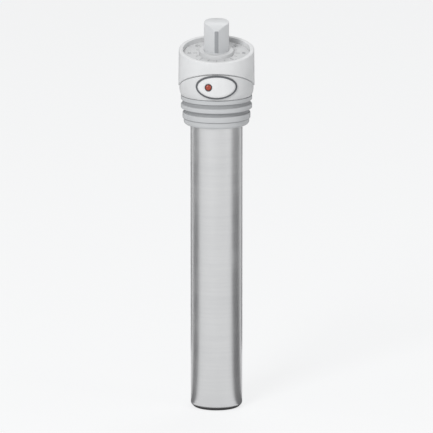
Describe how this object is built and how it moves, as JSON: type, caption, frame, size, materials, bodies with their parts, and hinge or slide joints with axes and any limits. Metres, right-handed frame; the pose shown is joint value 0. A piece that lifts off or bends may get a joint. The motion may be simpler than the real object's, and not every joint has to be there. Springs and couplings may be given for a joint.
{
  "type": "submersible aquarium heater",
  "caption": "Submersible aquarium heater: steel sheath, ribbed collar, sloped plastic head with badge and pilot lens, and a pointer knob that sets a bimetal thermostat.",
  "frame": {"origin": "on the sheath's axis, halfway along the bare steel wall that a tank bracket grips", "axes": "+Z along the sheath towards the knob, -Y towards the badge and pilot lens, +X to the right when the badge is seen upright"},
  "size_m": [0.0322, 0.0326, 0.1675],
  "materials": {
    "sheath_steel": "brushed 304 stainless",
    "collar_plastic": "satin moulding",
    "neck_plastic": "satin moulding",
    "cover_plastic": "satin moulding",
    "dial_plastic": "satin moulding with raised marks",
    "bush_plastic": "satin moulding",
    "knob_plastic": "semi-gloss moulding",
    "gland_rubber": "matt black rubber",
    "badge_face": "smooth bare face",
    "bezel_plastic": "dark grey edge",
    "lens_plastic": "clear amber lens",
    "lamp_glass": "clear bulb",
    "resistor_lacquer": "glossy lacquer with colour bands",
    "tinned_wire": "tinned copper",
    "splice_metal": "crimped sleeve",
    "wire_insulation": "silicone insulation",
    "potting_resin": "cast resin",
    "seal_rubber": "matt black rubber",
    "stopper_rubber": "silicone rubber",
    "carrier_phenolic": "phenolic laminate",
    "brass": "pressed brass",
    "pin_steel": "turned steel",
    "magnet_ferrite": "sintered ferrite",
    "fuse_ceramic": "ceramic body",
    "capacitor_film": "dipped film",
    "spacer_mica": "pressed mica",
    "core_ceramic": "fired ceramic",
    "resistance_wire": "oxidised resistance wire",
    "shaft_brass": "turned brass",
    "clip_steel": "spring steel",
    "lever_steel": "pressed steel",
    "contact_silver": "silver alloy",
    "bimetal": "rolled bimetal"
  },
  "bodies": {
    "housing": {"sheath_tube": "sheath_steel", "clamp_collar": "collar_plastic", "tube_seal": "seal_rubber", "neck_body": "neck_plastic", "head_cover": "cover_plastic", "dial_plate": "dial_plastic", "knob_bush": "bush_plastic", "cord_gland": "gland_rubber", "badge_plate": "badge_face", "badge_bezel": "bezel_plastic", "pilot_lens": "lens_plastic", "pilot_lamp": "lamp_glass", "lamp_resistor": "resistor_lacquer", "lamp_leads": "tinned_wire", "cord_splices": "splice_metal", "potting": "potting_resin", "tube_stopper": "stopper_rubber", "supply_leads": "wire_insulation", "thermostat_carrier": "carrier_phenolic", "terminal_tabs": "brass", "terminal_rivets": "brass", "lever_pin": "pin_steel", "strip_bracket": "brass", "snap_magnet": "magnet_ferrite", "thermal_fuse": "fuse_ceramic", "suppressor_capacitor": "capacitor_film", "support_rods": "pin_steel", "heat_shield": "spacer_mica", "ceramic_core": "core_ceramic", "heating_coil": "resistance_wire", "element_leads": "tinned_wire", "bottom_spacer": "spacer_mica", "bottom_pad": "spacer_mica"},
    "dial": {"knob": "knob_plastic", "stem_o_rings": "seal_rubber", "adjusting_shaft": "shaft_brass", "shaft_clip": "clip_steel"},
    "nut": {"plunger_nut": "brass"},
    "lever": {"setting_lever": "lever_steel", "lever_contact": "contact_silver"},
    "strip": {"bimetal_strip": "bimetal", "strip_contact": "contact_silver", "strip_armature": "magnet_ferrite"}
  },
  "joints": [
    {"name": "dial_turn", "type": "hinge", "parent": "housing", "child": "dial", "pos_m": [0, 0, 0.0919], "axis": [0, 0, 1], "range_deg": [-135, 135]},
    {"name": "nut_slide", "type": "slide", "parent": "housing", "child": "nut", "axis": [0, 0, 1], "range_m": [-0.0002, 0.0002]},
    {"name": "lever_rock", "type": "hinge", "parent": "housing", "child": "lever", "pos_m": [0, 0.001, 0.043], "axis": [1, 0, 0], "range_deg": [-3.6, 3.6]},
    {"name": "strip_bend", "type": "hinge", "parent": "housing", "child": "strip", "pos_m": [0, -0.0026, 0.0213], "axis": [1, 0, 0], "range_deg": [-1.4, 2], "stiffness_Nm_per_rad": 0.05}
  ],
  "couplings": [
    {"joint": "nut_slide", "follows": "dial_turn", "m_per_rad": -0.000079577},
    {"joint": "lever_rock", "follows": "dial_turn", "ratio": 0.026526}
  ]
}
